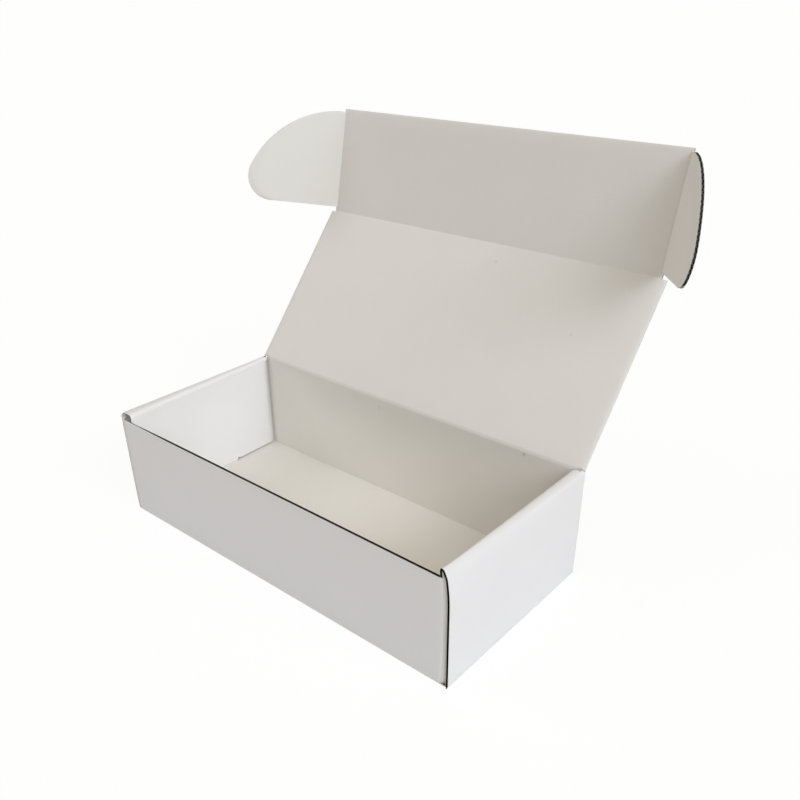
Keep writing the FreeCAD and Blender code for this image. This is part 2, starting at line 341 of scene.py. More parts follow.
class Cells:
    # Board made cell by cell: every point has a place on the outer liner and
    # one on the inner, and cells of neighbouring panels share the points
    # where they meet.
    def __init__(self):
        self.known = {}
        self.layers = []
        self.flat = []
        self.quads = []
        self.fluteVerts = []
        self.fluteFlat = []
        self.fluteFaces = []

    def point(self, place, flat, along, across):
        heights = [board["half"], board["half"] - board["liner"]]
        heights += [-heights[1], -heights[0]]
        spots = [place(along, across, height) for height in heights]
        key = tuple(np.round(np.concatenate([spots[0], spots[3]]), 3) + 0.0)
        if key not in self.known:
            self.known[key] = len(self.layers)
            self.layers.append(spots)
            self.flat.append(flat(along, across))
        return self.known[key]

    def panel(self, place, flat, alongs, acrosses, keep=None):
        grid = {}
        for i in range(len(alongs) - 1):
            for j in range(len(acrosses) - 1):
                middle = ((alongs[i] + alongs[i + 1]) / 2, (acrosses[j] + acrosses[j + 1]) / 2)
                if keep is not None and not keep(*middle):
                    continue
                corners = []
                for a, b in ((i, j), (i + 1, j), (i + 1, j + 1), (i, j + 1)):
                    if (a, b) not in grid:
                        grid[a, b] = self.point(place, flat, alongs[a], acrosses[b])
                    corners.append(grid[a, b])
                self.quad(corners)

    def quad(self, corners):
        # turned so that its outer face looks away from the inner liner
        spots = [self.layers[k][0] for k in corners]
        normal = np.cross(spots[2] - spots[0], spots[3] - spots[1])
        out = self.layers[corners[0]][0] - self.layers[corners[0]][3]
        if np.dot(normal, out) < 0:
            corners = corners[::-1]
        self.quads.append(corners)

    def flutes(self, place, flat, stations, span):
        # fluting between the liners, over span = (first, last) across and
        # through the given stations along
        first, last = span
        verts, faces = makeFluting(last - first, first, len(stations) - 1)
        base = len(self.fluteVerts)
        room = board["half"] - board["liner"] - board["room"]
        for cell, over, height in verts:
            along = float(np.interp(cell, range(len(stations)), stations))
            across = first + over
            self.fluteVerts.append(place(along, across, height * room))
            self.fluteFlat.append(flat(along, across))
        placed = np.array(self.fluteVerts[base:])
        corners = placed[[face[k] for face in faces for k in (0, 1, 2) if len(face) == 4]]
        a, b, c = corners[0::3], corners[1::3], corners[2::3]
        if np.einsum("ij,ij->", a - placed[0], np.cross(b - placed[0], c - placed[0])) < 0:
            faces = [face[::-1] for face in faces]
        self.fluteFaces += [[base + k for k in face] for face in faces]

    def build(self, name, material):
        count = len(self.layers)
        verts = [spots[layer] for layer in range(4) for spots in self.layers]
        faces, kinds = [], []
        edges = {}
        for quad in self.quads:
            faces += [quad, [k + count for k in quad[::-1]]]
            faces += [[k + 2 * count for k in quad], [k + 3 * count for k in quad[::-1]]]
            # the two inner liner faces get the painted shade
            kinds += [coatedSide, shadedMediumSide, shadedMediumSide, plainSide]
            for a, b in zip(quad, quad[1:] + quad[:1]):
                edges[a, b] = edges.get((a, b), 0) + 1
        for (a, b) in edges:
            if (b, a) in edges:
                continue
            faces.append([a + count, b + count, b, a])
            faces.append([a + 3 * count, b + 3 * count, b + 2 * count, a + 2 * count])
            kinds += [cutSide, cutSide]
        flats = list(self.flat) * 4 + self.fluteFlat
        base = len(verts)
        verts += self.fluteVerts
        faces += [[base + k for k in face] for face in self.fluteFaces]
        # the fluting's faces get the painted shade, and its cut ends the pale cut paper
        kinds += [shadedMediumSide if len(face) == 4 else cutSide for face in self.fluteFaces]
        mesh = bpy.data.meshes.new(name)
        mesh.from_pydata([tuple(v * metres) for v in verts], [], faces)
        for piece in material:
            mesh.materials.append(piece)
        mesh.polygons.foreach_set("material_index", kinds)
        sheet = mesh.attributes.new("sheet", "FLOAT_VECTOR", "POINT")
        rows = np.array([(a, b, 0.0) for a, b in flats], np.float32) * metres
        sheet.data.foreach_set("vector", rows.ravel())
        mesh.shade_smooth()
        mesh.set_sharp_from_angle(angle=math.radians(board["sharpAngle"]))
        mesh.validate()
        mesh.update()
        piece = bpy.data.objects.new(name, mesh)
        bpy.context.scene.collection.objects.link(piece)
        return piece


class Wire:
    # A socket of a node tree. Arithmetic on it adds Math nodes, and node()
    # adds any other node.
    def __init__(self, tree, socket=None):
        self.tree = tree
        self.socket = socket

    def node(self, kind, settings=None, inputs=None, output=0):
        made = self.tree.nodes.new(kind)
        for name, value in (settings or {}).items():
            setattr(made, name, value)
        for name, value in (inputs or {}).items():
            if isinstance(value, Wire):
                self.tree.links.new(value.socket, made.inputs[name])
            else:
                made.inputs[name].default_value = value
        if not made.outputs:
            return made
        return Wire(self.tree, made.outputs[output])

    def math(self, operation, *values):
        return self.node("ShaderNodeMath", {"operation": operation}, dict(enumerate(values)))

    def __add__(self, other):
        return self.math("ADD", self, other)

    def __radd__(self, other):
        return self.math("ADD", other, self)

    def __sub__(self, other):
        return self.math("SUBTRACT", self, other)

    def __rsub__(self, other):
        return self.math("SUBTRACT", other, self)

    def __mul__(self, other):
        return self.math("MULTIPLY", self, other)

    def __rmul__(self, other):
        return self.math("MULTIPLY", other, self)

    def __truediv__(self, other):
        return self.math("DIVIDE", self, other)

    def __rtruediv__(self, other):
        return self.math("DIVIDE", other, self)

    def choose(self, ifTrue, ifFalse):
        # ifTrue where this wire is 1, ifFalse where it is 0
        return self * ifTrue + (1.0 - self) * ifFalse


def flutingTree():
    # A ribbon of wavy paper: its section runs over the flutes, out along the
    # upper face and back along the lower, and is swept along the flutes.
    tree = bpy.data.node_groups.new("fluting", "GeometryNodeTree")
    inputs = {
        "Geometry": "NodeSocketGeometry",
        "Width": "NodeSocketFloat",
        "Start": "NodeSocketFloat",
        "Pitch": "NodeSocketFloat",
        "Paper": "NodeSocketFloat",
        "Points": "NodeSocketInt",
        "Cells": "NodeSocketInt",
        "Material": "NodeSocketMaterial",
    }
    for name, kind in inputs.items():
        tree.interface.new_socket(name=name, in_out="INPUT", socket_type=kind)
    tree.interface.new_socket(name="Geometry", in_out="OUTPUT", socket_type="NodeSocketGeometry")
    start = Wire(tree)
    given = tree.nodes.new("NodeGroupInput")
    value = {name: Wire(tree, given.outputs[name]) for name in inputs}
    points = value["Points"]
    index = start.node("GeometryNodeInputIndex")
    upper = index.math("LESS_THAN", index, points)
    step = upper.choose(index, points * 2.0 - 1.0 - index)
    over = value["Width"] * step / (points - 1.0)
    turn = (over + value["Start"]) * (2 * math.pi) / value["Pitch"]
    third = board["thirdWave"]
    wave = turn.math("SINE", turn) + turn.math("SINE", turn * 3.0) * third
    halfPaper = upper.choose(value["Paper"], value["Paper"] * -1.0)
    height = wave / (1 - third) * (1.0 - value["Paper"]) + halfPaper
    place = start.node("ShaderNodeCombineXYZ", {}, {0: over, 1: height})
    ring = start.node("GeometryNodeCurvePrimitiveCircle", {}, {"Resolution": points * 2.0})
    section = start.node("GeometryNodeSetPosition", {}, {"Geometry": ring, "Position": place})
    end = start.node("ShaderNodeCombineXYZ", {}, {0: value["Cells"] * 1.0})
    path = start.node("GeometryNodeCurvePrimitiveLine", {}, {"End": end})
    path = start.node("GeometryNodeResampleCurve", {}, {"Curve": path, "Count": value["Cells"] + 1.0})
    swept = start.node(
        "GeometryNodeCurveToMesh", {},
        {"Curve": path, "Profile Curve": section, "Fill Caps": True})
    real = start.node("GeometryNodeRealizeInstances", {}, {"Geometry": swept})
    done = start.node("GeometryNodeSetMaterial", {}, {"Geometry": real, "Material": value["Material"]})
    start.node("NodeGroupOutput", {}, {"Geometry": done})
    return tree


def setInputs(modifier, values):
    for item in modifier.node_group.interface.items_tree:
        if item.item_type == "SOCKET" and item.in_out == "INPUT" and item.name in values:
            modifier[item.identifier] = values[item.name]


def makeFluting(width, start, cells):
    # vertices as (cell along, distance over, height from -1 to 1), and faces
    points = max(4, math.ceil(width / board["pitch"] * board["stepsPerFlute"]) + 1)
    holder = bpy.data.objects.new("flutingHolder", bpy.data.meshes.new("flutingHolder"))
    bpy.context.scene.collection.objects.link(holder)
    modifier = holder.modifiers.new("fluting", "NODES")
    modifier.node_group = flutingGroup
    room = 2 * (board["half"] - board["liner"])
    # the fluting gets the painted-shade paper
    setInputs(modifier, {
        "Width": float(width), "Start": float(start - board["phase"]), "Pitch": board["pitch"],
        "Paper": board["paper"] / room, "Points": points, "Cells": cells,
        "Material": shadedMediumPaper,
    })
    graph = bpy.context.evaluated_depsgraph_get()
    mesh = bpy.data.meshes.new_from_object(holder.evaluated_get(graph))
    verts = [(v.co.x, -v.co.y, v.co.z) for v in mesh.vertices]
    faces = [list(p.vertices) for p in mesh.polygons]
    bpy.data.objects.remove(holder)
    bpy.data.meshes.remove(mesh)
    return verts, faces


def newMaterial(name):
    material = bpy.data.materials.new(name)
    material.use_nodes = True
    tree = material.node_tree
    tree.nodes.clear()
    return material, Wire(tree)


def surface(start, colour, roughness, specular, bump=None):
    inputs = {"Base Color": colour, "Roughness": roughness, "Specular IOR Level": specular}
    if bump is not None:
        inputs["Normal"] = bump
    shader = start.node("ShaderNodeBsdfPrincipled", {}, inputs)
    start.node("ShaderNodeOutputMaterial", {}, {"Surface": shader})


def shade(start, factor, dark, light):
    settings = {"data_type": "RGBA"}
    return start.node("ShaderNodeMix", settings, {0: factor, 6: (*dark, 1), 7: (*light, 1)}, 2)


# the white clay-coated outside, the plain white inside, the pale paper of the cut edges, and a painted
# shade, nearly black, on the medium and the liners' inner faces for the shade inside the flutes
coated = {
    "dark": (0.83, 0.824, 0.819),
    "light": (0.87, 0.863, 0.856),
    "washboard": 0.02,
    "roughness": 0.5,
    "specular": 0.3,
}
plain = {
    "dark": (0.80, 0.780, 0.728),
    "light": (0.85, 0.832, 0.785),
    "washboard": 0.025,
    "roughness": 0.85,
    "specular": 0.15,
}
grain = {
    "cloudScale": 28.0,
    "fineScale": 900.0,
    "pulpScale": 700.0,
    "cloudShare": 0.6,
    "ridgeHeight": 0.5,
    "fineHeight": 0.4,
    "reach": 0.0005,  # metres, of the bump
}
pulpAndShade = {
    "cut": (0.62, 0.59, 0.53),  # of the cut edges
    # painted shade: nearly black for the shade deep in the flutes, not the medium's own brown-grey
    "medium": (0.012, 0.009, 0.007),  # in the shade between the liners
    "darker": 0.8,
    "roughness": 0.9,
    "specular": 0.1,
}

# small marks on the plain side, by their place in the flat sheet: distance along
# and across the flutes, reach along and across, and how dark
hingeMiddle = (hingeBend[0] + hingeBend[1]) / 2
marks = [
    (24.8, hingeMiddle + 130.9, 1.0, 1.0, 0.15),
    (109.1, hingeMiddle + 89.8, 1.0, 0.8, 0.12),
    (112.2, hingeMiddle - 2.9, 1.2, 1.1, 0.32),
    (-24.0, hingeMiddle - 8.1, 1.0, 1.6, 0.12),
]


def marked(start, sheet, spots):
    # 1 in plain paper, less in the middle of each mark
    along = start.node("ShaderNodeSeparateXYZ", {}, {0: sheet}, 0)
    across = start.node("ShaderNodeSeparateXYZ", {}, {0: sheet}, 1)
    clear = None
    for x, y, reachX, reachY, dark in spots:
        away = (along - x * metres) / (reachX * metres)
        beside = (across - y * metres) / (reachY * metres)
        near = away.math("EXPONENT", (away * away + beside * beside) * -1.0)
        left = 1.0 - near * dark
        clear = left if clear is None else clear * left
    return clear


def paper(name, values, spots=()):
    material, start = newMaterial(name)
    sheet = start.node("ShaderNodeAttribute", {"attribute_name": "sheet"}, {}, 1)
    across = start.node("ShaderNodeSeparateXYZ", {}, {0: sheet}, 1)
    cloudValues = {"Vector": sheet, "Scale": grain["cloudScale"], "Detail": 3.0}
    cloud = start.node("ShaderNodeTexNoise", {}, cloudValues)
    fineValues = {"Vector": sheet, "Scale": grain["fineScale"], "Detail": 2.0}
    fine = start.node("ShaderNodeTexNoise", {}, fineValues)
    tone = cloud * grain["cloudShare"] + fine * (1 - grain["cloudShare"])
    ridge = across.math("SINE", across * (2 * math.pi / (board["pitch"] * metres)))
    height = ridge * grain["ridgeHeight"] + fine * grain["fineHeight"]
    bumpValues = {"Height": height, "Strength": values["washboard"], "Distance": grain["reach"]}
    bump = start.node("ShaderNodeBump", {}, bumpValues)
    colour = shade(start, tone, values["dark"], values["light"])
    if spots:
        clear = marked(start, sheet, spots)
        grey = start.node("ShaderNodeCombineXYZ", {}, {0: clear, 1: clear, 2: clear})
        settings = {"data_type": "RGBA", "blend_type": "MULTIPLY"}
        colour = start.node("ShaderNodeMix", settings, {0: 1.0, 6: colour, 7: grey}, 2)
    surface(start, colour, values["roughness"], values["specular"], bump)
    return material


def pulpAndShadePaper(name, colour):
    material, start = newMaterial(name)
    sheet = start.node("ShaderNodeAttribute", {"attribute_name": "sheet"}, {}, 1)
    fine = start.node("ShaderNodeTexNoise", {}, {"Vector": sheet, "Scale": grain["pulpScale"]})
    dark = tuple(c * pulpAndShade["darker"] for c in colour)
    surface(start, shade(start, fine, dark, colour), pulpAndShade["roughness"], pulpAndShade["specular"])
    return material


coatedPaper = paper("coatedPaper", coated)
plainPaper = paper("plainPaper", plain, marks)
cutPaper = pulpAndShadePaper("cutPaper", pulpAndShade["cut"])
# a painted shade, nearly black, for the flutes' depth rather than the medium's own colour
shadedMediumPaper = pulpAndShadePaper("shadedMediumPaper", pulpAndShade["medium"])
papers = [coatedPaper, plainPaper, cutPaper, shadedMediumPaper]
flutingGroup = flutingTree()
print("papers ready")


def symmetric(values):
    return sorted({-v for v in values} | set(values))


# where the mesh has its rows and columns of cells
tabRows = [tray["tabHalf"], tray["slotHalf"], 28.6, tray["notchMiddle"], 30.0, 30.6]
floorRows = symmetric(
    [0, 12, 20, 26, *tabRows, 34, 42, 50, 58, 66, tray["innerEnd"], tray["foldLine"]])
innerRows = [y for y in floorRows if abs(y) <= tray["innerEnd"]]
wallHeights = [
    tray["cornerFoot"], 2.6, 6, 12, 20, 30, 40, 50, 60, 66, 71, 75, 78, 81, tray["frontHeight"]]
wideColumns = [0, 20, 40, 60, 80, 100, 120, 138, 148]
slotColumns = [151, 153.5, tray["slotInner"], tray["wallEdge"], tray["slotOuter"]]
columns = symmetric([*wideColumns, *slotColumns, tray["floorEdge"]])


def floorAcross(y):
    return floorMiddle + y


def frontAcross(z):
    return tray["frontHeight"] - z


def backAcross(z):
    return backBend[1] + z - (board["half"] + tray["floorBend"])


def sheetFlat(along, across):
    return along, across


def keepTray(x, across):
    start = cornerStart[1 if x > 0 else -1]
    x = abs(x)
    if frontBend[1] < across < backBend[0]:
        y = across - floorMiddle
        inSlot = tray["slotInner"] < x < tray["slotOuter"] and abs(y) < tray["slotHalf"]
        return not inSlot
    if across < frontAcross(tray["cornerFoot"]):
        return x < start
    if across > backAcross(tray["cornerFoot"]):
        if across < backAcross(tray["frontHeight"]):
            return x < start
        return x < tray["wallEdge"]
    return x < tray["floorEdge"]


def bendRows(bend):
    return [bend[0] + (bend[1] - bend[0]) * k / foldSteps for k in range(foldSteps + 1)]


def makeSpineRows():
    rows = [frontAcross(z) for z in wallHeights]
    rows += bendRows(frontBend) + [floorAcross(y) for y in floorRows] + bendRows(backBend)
    rows += [backAcross(z) for z in wallHeights] + [hingeBend[0]]
    return sorted({round(r, 6) for r in rows})


# how round the fold of each side's corner flaps is, where the flap's middle
# would be if the fold were sharp, and how far it then settles outward
corners = {
    -1: {"round": 2.6, "middle": 158.3, "settle": -0.65},
    1: {"round": 4.2, "middle": 156.4, "settle": 1.25},
}
cornerFlap = {
    "lead": 5.0,
    "crush": 0.2,  # of the board in the fold
    "settleReach": 6.0,
    "taper": 4.0,  # of the flap's edges to its tip
    "footRise": 0.1,
    "topDrop": 0.5,
    "dipFrom": 0.2,  # shares of the fold, between which the foot dips
    "dipMiddle": 0.5,
}
cornerStart = {side: corners[side]["middle"] - corners[side]["round"] for side in mirror}


def makeCornerLine(side):
    middle = corners[side]["middle"]
    points = [
        (cornerStart[side] - cornerFlap["lead"], -tray["frontMiddle"]),
        (middle, -tray["frontMiddle"]),
        (middle, -tray["cornerTip"]),
    ]
    return Line(points, [corners[side]["round"]], crush=[cornerFlap["crush"]])


cornerLines = {side: makeCornerLine(side) for side in mirror}


def cornerPlace(sideX, sideY):
    cornerLine = cornerLines[sideX]
    foldStart, foldEnd = cornerLine.bends[0]
    top = tray["frontHeight"]
    topPinch = pinch["cornerTop"] if sideX < 0 and sideY < 0 else 0.0

    def place(along, z, height):
        x, y = cornerLine.offset(along, pinched(height, top - z, topPinch))
        turned = (along - foldStart) / (foldEnd - foldStart)
        share = min(1.0, max(0.0, (along - foldEnd) / (cornerLine.length - foldEnd)))
        settle = fade((along - foldEnd) / cornerFlap["settleReach"])
        middle = cornerFlap["dipMiddle"]
        dip = fade(turned / cornerFlap["dipFrom"]) * (1 - fade((turned - middle) / (1 - middle)))
        taper = cornerFlap["taper"] * share
        low = tray["cornerFoot"] - tray["cornerDip"] * dip + cornerFlap["footRise"] * settle + taper
        high = top - cornerFlap["topDrop"] * settle - taper
        z = low + (z - tray["cornerFoot"]) / (top - tray["cornerFoot"]) * (high - low)
        x += corners[sideX]["settle"] * settle - leanAt(sideX, sideY * -y, z) * fade(turned)
        return strayTray((sideX * x, -sideY * y, z))

    return place


def cornerFlat(sideX, sideY):
    foldStart = cornerLines[sideX].bends[0][0]

    def flat(along, z):
        across = frontAcross(z) if sideY < 0 else backAcross(z)
        return sideX * (cornerStart[sideX] + along - foldStart), across

    return flat


# A side wall is walked by station: up the floor fold and the outer panel, over
# the roll and down the inner panel. The board's middle over the roll is given as
# (distance in from the side's outer face, height), at either end of each side.
rolls = {
    -1: {
        "front": [(0.75, 83), (1.2, 86.2), (3.8, 88.8), (8.0, 89.4), (11.7, 89.2), (13.0, 87.6), (12.7, 83)],
        "back": [(0.75, 83), (0.75, 84.5), (1.2, 85.6), (2.5, 85.8), (3.7, 85.6), (4.2, 84.6), (4.1, 83)],
    },
    1: {
        "front": [(2.45, 83), (3.4, 85.5), (4.4, 87.6), (5.5, 89.1), (6.5, 88.6), (6.6, 86.0), (6.2, 83)],
        "back": [(0.75, 83), (0.8, 85.3), (1.9, 86.4), (4.9, 86.6), (7.6, 85.8), (8.4, 84.6), (8.2, 83)],
    },
}
rollSteps = 4
endRow = 0.8  # from a side wall's end to its last row but one
lean = {
    "from": 62.0,  # height where the outer panel starts to lean
    "outerPower": 2,
    "innerPower": 1.3,
    "sharePower": 0.85,  # how fast the front end changes to the back
}
sideFront = {-1: -73.9, 1: -74.45}
flare = {
    "out": {-1: 0.6, 1: 0.0},  # how far at the front end
    "from": -60.0,
    "reach": 10.0,
    "foot": 2.0,  # height it starts at
    "rise": 8.0,
}


def sideShare(y):
    # 0 at the front end of a side wall, 1 at its back end
    share = (y + tray["sideEnd"]) / (2 * tray["sideEnd"])
    return min(1.0, max(0.0, share)) ** lean["sharePower"]


def leanAt(side, y, z):
    # how far the top of a side's outer panel leans in, towards its roll
    front, back = (rolls[side][end][0][0] - board["half"] for end in ("front", "back"))
    high = max(0.0, (z - lean["from"]) / (tray["frontHeight"] - lean["from"]))
    return (front + (back - front) * sideShare(y)) * high ** lean["outerPower"]


def flareAt(side, y, z):
    # how far a side's outer panel stands out round the corner flap
    nearFront = fade((flare["from"] - y) / flare["reach"])
    return flare["out"][side] * nearFront * fade((z - flare["foot"]) / flare["rise"])


def curveThrough(points, steps):
    # a smooth curve through points, with extra end points giving its ends' headings
    out = []
    for i in range(1, len(points) - 2):
        a, b, c, d = points[i - 1:i + 3]
        for k in range(steps):
            t = k / steps
            out.append(0.5 * (2 * b + (c - a) * t + (2 * a - 5 * b + 4 * c - d) * t * t
                              + (3 * b - a - 3 * c + d) * t ** 3))
    out.append(points[-2])
    return out


@functools.lru_cache(maxsize=None)
def section(side, y):
    # the middle line of a side wall at y, its outward normals and lengths
    share = sideShare(y)
    front, back = (np.array(rolls[side][end], float) for end in ("front", "back"))
    shape = front + (back - front) * share
    shape[0][0] -= flareAt(side, y, tray["frontHeight"])
    shape[1][0] -= flareAt(side, y, tray["frontHeight"]) / 2
    inward = shape[-1][0] - tray["innerMiddle"]
    depth = tray["frontHeight"] - tray["innerFoot"]
    radius = tray["floorBend"]
    centre = (tray["halfWidth"] - tray["floorEdge"], board["half"] + radius)
    points = []
    for k in range(foldSteps + 1):
        angle = math.pi / 2 * k / foldSteps
        points.append((centre[0] - radius * math.sin(angle), centre[1] - radius * math.cos(angle)))
    for z in wallHeights[1:-1]:
        points.append((board["half"] + leanAt(side, y, z) - flareAt(side, y, z), z))
    slope = inward * lean["innerPower"] / depth
    before = np.array(points[-1])
    after = shape[-1] - (slope * 2, 2)
    points += [tuple(p) for p in curveThrough([before, *shape, after], rollSteps)]
    for z in wallHeights[-2:1:-1]:
        high = max(0.0, (z - tray["innerFoot"]) / depth)
        points.append((tray["innerMiddle"] + inward * high ** lean["innerPower"], z))
    points = np.array(points)
    ahead = np.gradient(points, axis=0)
    ahead /= np.linalg.norm(ahead, axis=1)[:, None]
    ahead[0] = (-1, 0)
    normals = np.stack([-ahead[:, 1], ahead[:, 0]], axis=1)
    lengths = np.concatenate([[0], np.cumsum(np.linalg.norm(np.diff(points, axis=0), axis=1))])
    return points, normals, lengths


panelTop = foldSteps + len(wallHeights) - 1
rollTop = panelTop + (len(rolls[1]["front"]) - 1) * rollSteps
innerCount = rollTop + len(wallHeights) - 2


def slantCut(height, y):
    # the inner panel's back end is cut on a slant, shorter on its shown face
    share = (height + board["half"]) / (2 * board["half"])
    return tray["endSlant"] * share * bell((tray["innerEnd"] - y) / tray["slantReach"])


def sidePlace(side):
    def place(station, y, height):
        points, normals, _ = section(side, y)
        low = min(int(station), len(points) - 2)
        part = station - low
        spot = points[low] * (1 - part) + points[low + 1] * part
        normal = normals[low] * (1 - part) + normals[low + 1] * part
        spot = spot + normal * pinched(height, y - sideFront[side], pinch["side"][side])
        if station >= rollTop:
            y -= slantCut(height, y)
        return strayTray((side * (tray["halfWidth"] - spot[0]), y, spot[1]))

    return place


def sideFlat(side):
    def flat(station, y):
        lengths = section(side, y)[2]
        walked = float(np.interp(station, range(len(lengths)), lengths))
        return side * (tray["floorEdge"] + walked), floorAcross(y)

    return flat


def footHeight(y):
    # the lower edge of the inner panel, notched at the tab's shoulders
    away = (abs(y) - tray["notchMiddle"]) / tray["notchRadius"]
    rise = math.sqrt(max(0.0, 1 - away * away)) * tray["notchRadius"]
    return tray["innerFoot"] + rise


def footPlace(side):
    # the lowest strip of the inner panel, from 0 at its top to 1 at the lower
    # edge, and its tab in the floor's slot, from 1 to 2
    def place(part, y, height):
        top = sidePlace(side)(innerCount - 1, y, height)
        low = top + (0, 0, footHeight(y) - wallHeights[2])
        spot = top + (low - top) * min(1.0, part)
        past = max(0.0, part - 1)
        taper = past * tray["tabTaper"] * y / tray["tabHalf"]
        return spot - (0, taper, past * (tray["innerFoot"] - tray["tabFoot"]))

    return place


def footFlat(side):
    last = innerCount - 1

    def flat(part, y):
        along, across = sideFlat(side)(last, y)
        return along + side * part * (wallHeights[2] - tray["innerFoot"]), across

    return flat


def frontRows(side):
    # the rows at a side wall's front end, up to the floor's first row
    front = sideFront[side]
    return sorted({y for y in (front, front + endRow) if y < -tray["foldLine"]} | {-tray["foldLine"]})


# how near its cut edge the fluting starts, and how far in it is made, since
# nothing shows of it deeper in the board
fluting = {
    "edge": 0.03,
    "frontEdge": 0.05,
    "wallDepth": 14.0,
    "floorReach": 72.0,
    "slotReach": 34.0,
    "slotFrom": 148.0,
    "sideReach": 60.0,
    "rollReach": 58.0,
}


def addFront(cells):
    # the front wall, floor and back wall, with the open edges of the floor
    starts = {side * start for side, start in cornerStart.items()}
    cells.panel(spinePlace, sheetFlat, sorted(set(columns) | starts), makeSpineRows(), keepTray)
    stations = [-cornerStart[-1], -100, 0, 100, cornerStart[1]]
    cells.flutes(spinePlace, sheetFlat, stations, (fluting["frontEdge"], fluting["wallDepth"]))
    for side in mirror:
        for near, far, reach in (
                (tray["slotOuter"], tray["floorEdge"], fluting["floorReach"]),
                (fluting["slotFrom"], tray["slotInner"], fluting["slotReach"])):
            span = (floorAcross(-reach), floorAcross(reach))
            cells.flutes(spinePlace, sheetFlat, [side * near, side * far], span)


def addCorners(cells):
    top = tray["frontHeight"]
    for sideX in mirror:
        line = cornerLines[sideX]
        alongs = line.steps(line.bends[0][0], line.length, tray["cornerSpacing"])
        for sideY in mirror:
            place, flat = cornerPlace(sideX, sideY), cornerFlat(sideX, sideY)
            cells.panel(place, flat, alongs, wallHeights)
            span = (top - fluting["wallDepth"], top - fluting["frontEdge"])
            cells.flutes(place, flat, alongs, span)


def addSide(cells, side):
    # a side wall but for its roll: floor fold, outer panel, inner panel and tab
    front, back = frontRows(side), [tray["foldLine"], tray["sideEnd"] - endRow, tray["sideEnd"]]
    place, flat = sidePlace(side), sideFlat(side)
    fold = list(range(foldSteps + 1))
    for rows in (floorRows, front, back):
        cells.panel(place, flat, fold, rows)
    outer = list(range(foldSteps, panelTop + 1))
    cells.panel(place, flat, outer, [*front, *floorRows[1:], *back[1:]])
    inner = list(range(rollTop, innerCount))
    cells.panel(place, flat, inner, innerRows)
    cells.panel(place, flat, inner[:4], [-tray["foldLine"], -tray["innerEnd"]])
    edge = fluting["edge"]
    cells.flutes(place, flat, outer, (sideFront[side] + edge, -fluting["sideReach"]))
    cells.flutes(place, flat, outer, (fluting["sideReach"], tray["sideEnd"] - edge))
    place, flat = footPlace(side), footFlat(side)
    for part, half in ((0, tray["innerEnd"]), (1, tray["tabHalf"])):
        rows = [y for y in innerRows if abs(y) <= half]
        cells.panel(place, flat, [part, part + 1], rows)
        cells.flutes(place, flat, [part, part + 1], (edge - half, half - edge))


def makeTray():
    cells = Cells()
    addFront(cells)
    addCorners(cells)
    for side in mirror:
        addSide(cells, side)
    piece = cells.build("trayBoard", papers)
    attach(piece, "tray")
    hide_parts("tray")


def makeRoll(side, name):
    cells = Cells()
    rows = [*frontRows(side), *innerRows]
    place, flat = sidePlace(side), sideFlat(side)
    stations = list(range(panelTop, rollTop + 1))
    cells.panel(place, flat, stations, rows)
    # only its outer part runs on to the back end
    outer, inner = stations[:2 * rollSteps + 1], stations[2 * rollSteps:]
    back = [tray["innerEnd"], tray["foldLine"], tray["sideEnd"] - endRow, tray["sideEnd"]]
    cells.panel(place, flat, outer, back)
    edge = fluting["edge"]
    cells.flutes(place, flat, stations, (sideFront[side] + edge, -fluting["rollReach"]))
    cells.flutes(place, flat, outer, (fluting["sideReach"], tray["sideEnd"] - edge))
    cells.flutes(place, flat, inner, (fluting["sideReach"], tray["innerEnd"] - edge))
    piece = cells.build(name, papers)
    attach(piece, "tray")
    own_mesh(piece)


makeTray()
makeRoll(-1, "leftRoll")
makeRoll(1, "rightRoll")
print("tray built")


def spinePoint(across):
    y, z, _ = spine.at(across)
    return (0, y * metres, z * metres)


def keepLid(x, across):
    middle = (hingeBend[0] + hingeBend[1]) / 2
    return abs(x) < (tray["wallEdge"] if across < middle else lid["halfWidth"])


def makeLid():
    cells = Cells()
    edges = [153, tray["wallEdge"], 158.6, lid["halfWidth"]]
    lidColumns = symmetric([*wideColumns, *edges])
    rows = set(bendRows(hingeBend))
    rows |= set(spine.steps(hingeBend[1], creaseBend[0], lid["rowSpacing"]))
    cells.panel(spinePlace, sheetFlat, lidColumns, sorted(rows), keepLid)
    span = (hingeBend[1] + lid["fluteStart"], creaseBend[0] - lid["fluteGap"])
    cells.flutes(spinePlace, sheetFlat, lidColumns, span)
    piece = cells.build("lidBoard", papers)
    # the fold starts above the highest part of the seam with the tray
    start = np.array(spinePoint(hingeBend[0])) + (0, 0, stray["lift"] * metres)
    spinePoint(hingeBend[1])
    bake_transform(piece)
    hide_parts("lid_panel")


def keepFlap(x, across):
    along = across - flapStart
    x = abs(x)
    if along < lid["crease"]:
        return True
    if ear["near"] - ear["gap"] < along < ear["far"] + ear["gap"]:
        return x < ear["axis"] - ear["crease"]
    return x < lid["flapEdge"]


def makeFlap():
    cells = Cells()
    edge = ear["axis"] - ear["crease"]
    flapColumns = symmetric([*wideColumns, edge, lid["flapEdge"]])
    near, far = ear["near"] - ear["gap"], ear["far"] + ear["gap"]
    rows = set(bendRows(creaseBend))
    rows |= set(spine.steps(creaseBend[1], spine.length, lid["flapSpacing"]))
    rows |= {flapStart + near, flapStart + far, spine.length - 1}
    cells.panel(spinePlace, sheetFlat, flapColumns, sorted(rows), keepFlap)
    stations = [-edge, -80, 0, 80, edge]
    end = spine.length - fluting["frontEdge"]
    cells.flutes(spinePlace, sheetFlat, stations, (creaseBend[1] + lid["fluteGap"], end))
    for side in mirror:
        nub = [side * edge, side * lid["flapEdge"]]
        cells.flutes(spinePlace, sheetFlat, nub, (flapStart + far + fluting["frontEdge"], end))
    piece = cells.build("flapBoard", papers)
    spinePoint(creaseBend[0])
    spinePoint(creaseBend[1])
    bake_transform(piece)
    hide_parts("tuck_flap")


makeLid()
makeFlap()
print("lid and flap built")


